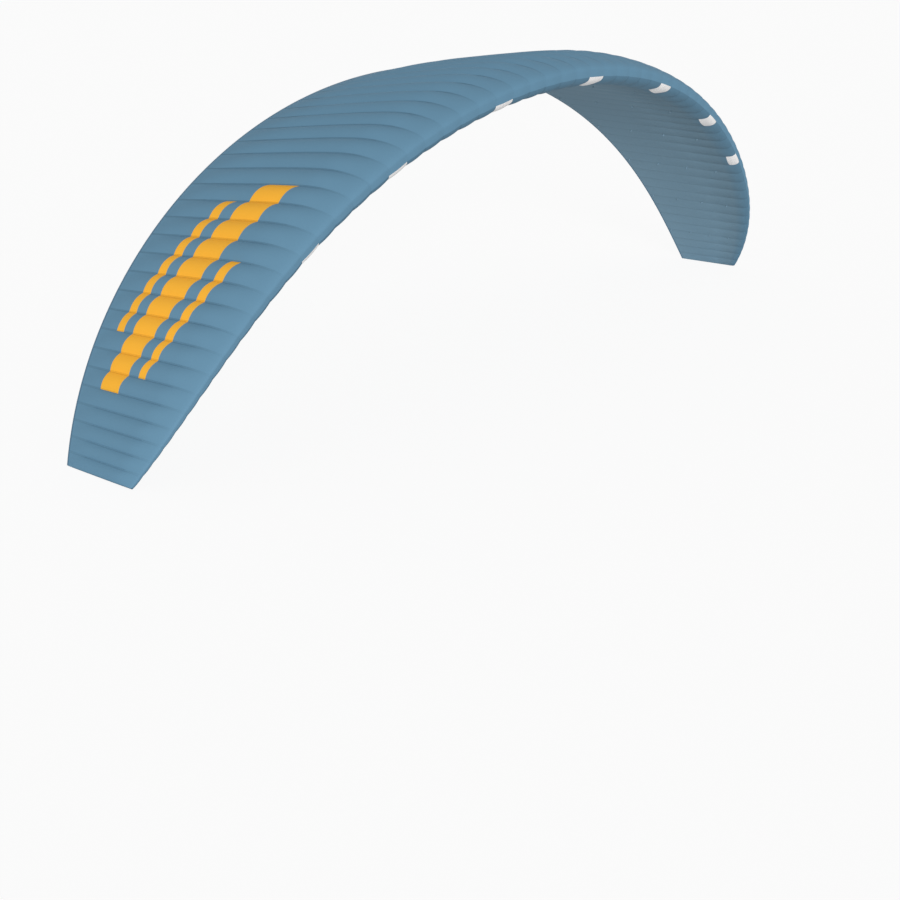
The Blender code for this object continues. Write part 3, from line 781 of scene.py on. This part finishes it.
intake_columns = slice(NOSE_SEAM, INTAKE_END + 1)
intake_cloth, shader, start = new_material("intake_cloth", {"Roughness": 0.6})
seam, run = start.node("ShaderNodeUVMap", uv_map="cloth").parts()
across, down = (abs((way / MESH_PITCH).fraction() - 0.5) < HOLE_SHARE / 2 for way in (seam, run))
hole, stitch = across * down * (seam > MESH_BORDER), stitches(seam, run)
clouds = 0.06 * (clouded(start, 12.0, 2.0) - 0.5)
shade = 1.02 + clouds - HOLE_INSIDE_SHADE * hole - THREAD_SHADE * stitch
feed(shader, colour_of(start, WHITE).times(shade), (1 - hole + stitch) * MESH_HEIGHT)
for label, cell in intake_labels():
    edges = cell - 0.5 + INTAKE_GAP - RUN_GAP, cell + 0.5 - INTAKE_GAP + RUN_GAP
    outer, inner, cells, cloth = skin_grids(*edges, intake_columns)
    mesh, used = shell_mesh(f"intake_mesh_{label}", outer, inner)
    add_coordinates(mesh, "cloth", cloth, used)
    node = f"intake_panel_{label}"
    panel = add_piece(mesh.name, mesh, intake_cloth, replaces=[node])
    flat, area = flat_size(cell - 0.5, cell + 0.5, intake_columns)


# Wing-tip panels
# The last rib on each side is a panel of canopy cloth, bowed out a little by the pressure.
# The kite rests on the lower edges of the two.
TIP_BOW = 0.003
TIP_ROWS, TIP_COLUMNS = 61, 13
TIP_EDGE = 0.0005  # share of the chord by which a panel stays short at each end
FAR_FROM_SEAMS = 0.02

for label, side in (("right", 1), ("left", -1)):
    section = Sections(side * CELLS / 2)
    steps = np.linspace(0, 1, TIP_ROWS) ** 2, np.linspace(-1, 1, TIP_COLUMNS)
    share, height = np.meshgrid(*steps, indexing="ij")
    x = (TIP_EDGE + share * (1 - 2 * TIP_EDGE)) * section.chord[0]
    low, high = section.edges(x.reshape(1, -1), 0.0)
    z = low + (high - low) * (height.reshape(1, -1) + 1) / 2
    bow = TIP_BOW * (1 - height.reshape(1, -1) ** 2) * (1 - share.reshape(1, -1))
    grids = [
        section.at(x.reshape(1, -1), z, side * (CLEARANCE + lift + bow)).reshape(*x.shape, 3)
        for lift in (SKIN, SKIN - CLOTH)
    ]
    mesh, used = shell_mesh(f"tip_cloth_{label}", *grids)
    add_coordinates(mesh, "cells", np.stack([0 * x + side * CELLS / 2, share], -1), used)
    add_coordinates(mesh, "cloth", np.stack([FAR_FROM_SEAMS + 0 * x, x], -1), used)
    outward(mesh)
    node = f"tip_panel_{label}"
    panel = add_piece(mesh.name, mesh, bottom_cloth, replaces=[node])
    tall = (high - low).reshape(x.shape)[:, 0]
    area = (np.diff(x[:, 0]) * (tall[1:] + tall[:-1]) / 2).sum()


# Trailing-edge hem
# A dark tape folded round the back edges of both skins, square in section with rounded
# corners. It is cut at the same ribs as the skins.
HEM_DEPTH = 0.010
HEM_LAP = 0.004  # how far the tape reaches over the skins
HEM_OVERLAP = 0.0006
HEM_SQUARENESS = 0.45  # power on the ellipse's cosine and sine, which squares its corners
HEM_RINGS, HEM_SIDES = 4, 24  # rings to a cell
DARK_BLUE = (0.075, 0.165, 0.250)


def signed_power(number, power):
    """The power of a number's size, with the number's sign."""
    return np.sign(number) * np.abs(number) ** power


hem_tape = stiff_cloth("hem_tape", DARK_BLUE, 0.7, pitch=0.0009)
for label, first, last in runs():
    k = np.linspace(first + RUN_GAP, last - RUN_GAP, int(round(last - first)) * HEM_RINGS + 1)
    section = Sections(k)
    turn = np.linspace(0, 2 * math.pi, HEM_SIDES + 1)[:-1]
    cosine, sine = (signed_power(wave(turn), HEM_SQUARENESS) for wave in (np.cos, np.sin))
    skins = 2 * SKIN + CLEARANCE
    middle = section.chord[:, None] + CLEARANCE + (HEM_DEPTH - HEM_LAP) / 2
    x = middle + cosine * (HEM_DEPTH + HEM_LAP) / 2
    z = skins / 2 + sine * (skins / 2 + HEM_OVERLAP)
    mesh = tube_mesh(f"hem_{label}", section.at(x, z + 0 * x))
    add_piece(mesh.name, mesh, hem_tape, replaces=[f"trailing_edge_tape_{label}"])


# Line tabs
# Under each load rib hang four small loops of webbing, three for the rows of the bridle and
# one for the brake, each folded double and sewn into the seam.
TAB_PLACES = (0.20, 0.45, 0.70, 0.96)
TAB_LENGTH = 0.010
TAB_DROP = 0.015
TAB_WEBBING = 0.0007
TAB_OPENING = 0.0011  # half the loop's opening
TAB_ROUNDNESS, TAB_BULGE = 2.5, 1.5  # powers in the loop's fall and in its opening
TAB_FOLD = 0.15  # share of the loop, either way from its lowest point, that turns round
TAB_ROWS, TAB_COLUMNS = 25, 5
# The underside's blue, painted lighter to offset the shade that the tabs hang in
LIGHTENED_TAB_BLUE = (0.26, 0.40, 0.50)


def tab_grids(section, place):
    """A tab's outer and inner face: a loop down and up again, opened by the power of a sine."""
    t = np.linspace(-1, 1, TAB_ROWS)[:, None]
    fall = -TAB_DROP * (1 - np.abs(t) ** TAB_ROUNDNESS)
    x = place * section.chord[0] + np.linspace(-0.5, 0.5, TAB_COLUMNS) * TAB_LENGTH
    out = TAB_WEBBING + TAB_OPENING * np.sin(math.pi * np.abs(t)) ** TAB_BULGE
    for inset in (0.0, TAB_WEBBING):
        down = fall + inset * (np.abs(t) < TAB_FOLD)
        grid = [a.reshape(1, -1) for a in np.broadcast_arrays(x, down, np.sign(t) * (out - inset))]
        yield section.at(*grid).reshape(len(t), len(x), 3)


tab_webbing = stiff_cloth("tab_webbing", LIGHTENED_TAB_BLUE, 0.75, pitch=0.0009)
for label, first, last in runs():
    points, faces, count = [], [], 0
    for k in filter(is_load_rib, np.arange(first, last + 0.5)):
        for place in TAB_PLACES:
            tab, _ = shell_mesh("tab", *tab_grids(Sections(k), place))
            points.append(np.array([corner.co for corner in outward(tab).vertices]))
            faces += [[count + i for i in face.vertices] for face in tab.polygons]
            count += len(tab.vertices)
    if points:
        tabs = mesh_from(f"line_tabs_{label}", np.concatenate(points), faces)
        add_piece(tabs.name, tabs, tab_webbing)


# Deflation zip
# A coil zip under the trailing edge of the middle cell, which lets the air out for packing.
# Black woven tape, a coil of nylon wire sewn along its middle, and a cast slider with a pull.
ZIP_PLACE = 0.965  # share of the chord
ZIP_LENGTH = 0.170
ZIP_TAPE_WIDTH, ZIP_TAPE_THICKNESS = 0.024, 0.001
COIL_WIDTH, COIL_HEIGHT = 0.004, 0.0016
COIL_WIRE = 0.0003
COIL_PITCH = 0.0012
COIL_END = 0.002
COIL_RINGS, COIL_SIDES = 10, 6  # rings to a turn
SLIDER_START = -0.076  # closed end, from the middle
SLIDER_LENGTH, SLIDER_WIDTH, SLIDER_HEIGHT = 0.012, 0.010, 0.0045
SLIDER_PLAY = 0.001  # between coil and slider
PULL_LENGTH, PULL_WIDTH, PULL_THICKNESS = 0.024, 0.006, 0.0012
TAPE_SQUARENESS, SLIDER_SQUARENESS = 0.12, 0.3
POLE_STOP = 0.999  # share of the way to its poles that a pillow's rings go
BLACK, DARK_NYLON, GREY_METAL = (0.022, 0.022, 0.025), (0.03, 0.03, 0.033), (0.42, 0.42, 0.43)


def seated(points):
    """Points along, back and up from the zip's seat, which follows the skin's slope."""
    middle, rib = Sections(0), Sections(0.5)
    seat = middle.at(ZIP_PLACE * middle.chord[:, None], 0.0)[0, 0]
    seat[2] = rib.at(ZIP_PLACE * rib.chord[:, None], -CLEARANCE)[0, 0, 2] - 2 * CLEARANCE
    return seat + points @ np.stack([[1.0, 0.0, 0.0], middle.back[0], middle.rise[0]])


def pillow(centre, size, squareness, rows=16, columns=32):
    """Rings of a squared ellipsoid: signed powers of the cosines and sines of two turns."""
    v = np.linspace(-1, 1, rows)[:, None] * math.pi / 2 * POLE_STOP
    u = np.linspace(0, 2 * math.pi, columns + 1)[:-1]
    around = signed_power(np.cos(v), squareness)
    parts = (
        around * signed_power(np.cos(u), squareness),
        around * signed_power(np.sin(u), squareness),
        signed_power(np.sin(v), squareness) + 0 * u,
    )
    return np.stack(parts, axis=-1) * np.array(size) / 2 + centre


zip_tape = stiff_cloth("zip_tape", BLACK, 0.8, pitch=0.0006)
size = (ZIP_LENGTH, ZIP_TAPE_WIDTH, ZIP_TAPE_THICKNESS)
tape = pillow((0.0, 0.0, -ZIP_TAPE_THICKNESS / 2), size, TAPE_SQUARENESS)
mesh = tube_mesh("zip_tape", seated(tape))
add_piece(mesh.name, mesh, zip_tape, replaces=["deflation_zip_tape"])

nylon, shader, start = new_material("zip_nylon", {"Roughness": 0.35})
clouds = clouded(start, 300.0, 2.0)
feed(shader, colour_of(start, DARK_NYLON).times(0.9 + 0.2 * clouds), clouds * 0.00003)
turns = (ZIP_LENGTH - 2 * COIL_END) / COIL_PITCH
wind = np.linspace(0, 2 * math.pi * turns, int(COIL_RINGS * turns) + 1)
path = np.stack(
    [
        COIL_PITCH * wind / (2 * math.pi) - ZIP_LENGTH / 2 + COIL_END,
        np.cos(wind) * (COIL_WIDTH / 2 - COIL_WIRE),
        np.sin(wind) * (COIL_HEIGHT / 2 - COIL_WIRE) - ZIP_TAPE_THICKNESS - COIL_HEIGHT / 2,
    ],
    axis=-1,
)
ahead = np.gradient(path, axis=0)
ahead /= np.linalg.norm(ahead, axis=1, keepdims=True)
side = np.cross(ahead, [1.0, 0.0, 0.0])
side /= np.linalg.norm(side, axis=1, keepdims=True)
turn = np.linspace(0, 2 * math.pi, COIL_SIDES + 1)[:-1, None]
ring = np.cos(turn) * side[:, None] + np.sin(turn) * np.cross(ahead, side)[:, None]
mesh = tube_mesh("zip_coil", seated(path[:, None] + COIL_WIRE * ring))
add_piece(mesh.name, mesh, nylon)

metal, shader, start = new_material("zip_metal", {"Roughness": 0.3, "Metallic": 1.0})
grain = clouded(start, 900.0, 4.0)
feed(shader, colour_of(start, GREY_METAL).times(0.9 + 0.2 * grain), grain * 0.00002)
metal.node_tree.links.new((0.26 + 0.2 * grain).socket, shader.inputs["Roughness"])
under_tape = -ZIP_TAPE_THICKNESS - CLEARANCE
wall = (SLIDER_WIDTH - COIL_WIDTH) / 2 - 2 * CLEARANCE
plate = SLIDER_HEIGHT - COIL_HEIGHT - SLIDER_PLAY
aside, middle = (SLIDER_WIDTH - wall) / 2, under_tape - SLIDER_HEIGHT / 2
parts = {
    "plate": (
        (0.0, 0.0, under_tape - SLIDER_HEIGHT + plate / 2),
        (SLIDER_LENGTH, SLIDER_WIDTH, plate),
    ),
    "wall_front": ((0.0, -aside, middle), (SLIDER_LENGTH, wall, SLIDER_HEIGHT)),
    "wall_back": ((0.0, aside, middle), (SLIDER_LENGTH, wall, SLIDER_HEIGHT)),
    "pull": (
        (SLIDER_LENGTH / 4 + PULL_LENGTH / 2, 0.0, under_tape - SLIDER_HEIGHT),
        (PULL_LENGTH, PULL_WIDTH, PULL_THICKNESS),
    ),
}
for part, (centre, size) in parts.items():
    rings = pillow(np.array(centre) + [SLIDER_START, 0.0, 0.0], size, SLIDER_SQUARENESS)
    mesh = tube_mesh(f"slider_{part}", seated(rings))
    stands_for = ["zip_slider"] if part == "plate" else []
    add_piece(mesh.name, mesh, metal, "zip_slider", stands_for)


# Floor, light and camera
# A plain white floor, whose own colour the camera sees mixed with an even white. One soft
# sun stands low at the front left, and an even sky fills in.
FLOOR_REACH, FLOOR_DROP = 800, 0.0005
FLOOR_GREY = 0.86
FLOOR_GLOW = 0.92  # share of even white in what the camera sees
PURE_WHITE = (1, 1, 1, 1)
SKY_STRENGTH = 0.47
SUN_DIRECTION = Vector((-0.71, -0.67, 0.19))
SUN_STRENGTH, SUN_SPREAD = 2.0, 15  # the spread in degrees
LOOK_AT = Vector((0.0, 0.4276, -1.0374))
AZIMUTH, ELEVATION, ROLL = (math.radians(angle) for angle in (-53.715, 20.276, 0.989))
DISTANCE = 10.602
SENSOR, LENS = 36.0, 50.54  # millimetres


def seen(start):
    """One for rays from the camera and for those that shiny or clear things pass on."""
    kinds = ("Camera", "Glossy", "Transmission")
    rays = [start.node("ShaderNodeLightPath", output=f"Is {kind} Ray") for kind in kinds]
    return rays[0].larger(rays[1]).larger(rays[2])


floor_mesh = bpy.data.meshes.new("floor")
corners = [(x * FLOOR_REACH, y * FLOOR_REACH, 0) for x, y in ((-1, -1), (1, -1), (1, 1), (-1, 1))]
floor_mesh.from_pydata(corners, [], [(0, 1, 2, 3)])
floor = bpy.data.objects.new("floor", floor_mesh)
floor.location.z = -FLOOR_DROP
bpy.context.scene.collection.objects.link(floor)
same_all_over = {
    "Roughness": 0.9,
    "Base Color": (FLOOR_GREY, FLOOR_GREY, FLOOR_GREY, 1.0),
    "Specular IOR Level": 0.0,
}
floor_paint, shader, start = new_material("floor_paint", same_all_over)
glow = start.node("ShaderNodeEmission", {"Color": PURE_WHITE, "Strength": 1.0})
mixed = start.node("ShaderNodeMixShader", {0: seen(start) * FLOOR_GLOW, 1: start, 2: glow})
tree = floor_paint.node_tree
tree.links.new(mixed.socket, tree.nodes["Material Output"].inputs["Surface"])
floor_mesh.materials.append(floor_paint)
floor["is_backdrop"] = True

world = bpy.data.worlds.new("studio")
bpy.context.scene.world = world
world.use_nodes = True
tree = world.node_tree
tree.nodes["Background"].inputs["Color"].default_value = PURE_WHITE
tree.nodes["Background"].inputs["Strength"].default_value = SKY_STRENGTH
sky = Value(tree.nodes["Background"].outputs[0])
white = sky.node("ShaderNodeBackground", {"Color": PURE_WHITE, "Strength": 1.0})
mixed = sky.node("ShaderNodeMixShader", {0: seen(sky), 1: sky, 2: white})
tree.links.new(mixed.socket, tree.nodes["World Output"].inputs["Surface"])

sun = bpy.data.objects.new("key", bpy.data.lights.new("key", "SUN"))
sun.data.energy = SUN_STRENGTH
sun.data.angle = math.radians(SUN_SPREAD)
sun.rotation_mode = "QUATERNION"
sun.rotation_quaternion = SUN_DIRECTION.to_track_quat("Z", "Y")
bpy.context.scene.collection.objects.link(sun)

level = math.cos(ELEVATION)
back = Vector((math.sin(AZIMUTH) * level, -math.cos(AZIMUTH) * level, math.sin(ELEVATION)))
right = Vector((math.cos(AZIMUTH), math.sin(AZIMUTH), 0.0))
up = back.cross(right)
rolled_right = math.cos(ROLL) * right + math.sin(ROLL) * up
rolled_up = math.cos(ROLL) * up - math.sin(ROLL) * right
turned = Matrix((rolled_right, rolled_up, back)).transposed().to_4x4()
camera = bpy.data.objects.new("camera", bpy.data.cameras.new("camera"))
camera.data.sensor_width = SENSOR
camera.data.lens = LENS
camera.matrix_world = Matrix.Translation(LOOK_AT + back * DISTANCE) @ turned
bpy.context.scene.collection.objects.link(camera)
bpy.context.scene.camera = camera
bpy.context.scene.view_settings.view_transform = "Standard"

boxes = {
    name: [list(corner) for corner in box] for name, box in (("cad", cad_box), ("visual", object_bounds()))
}
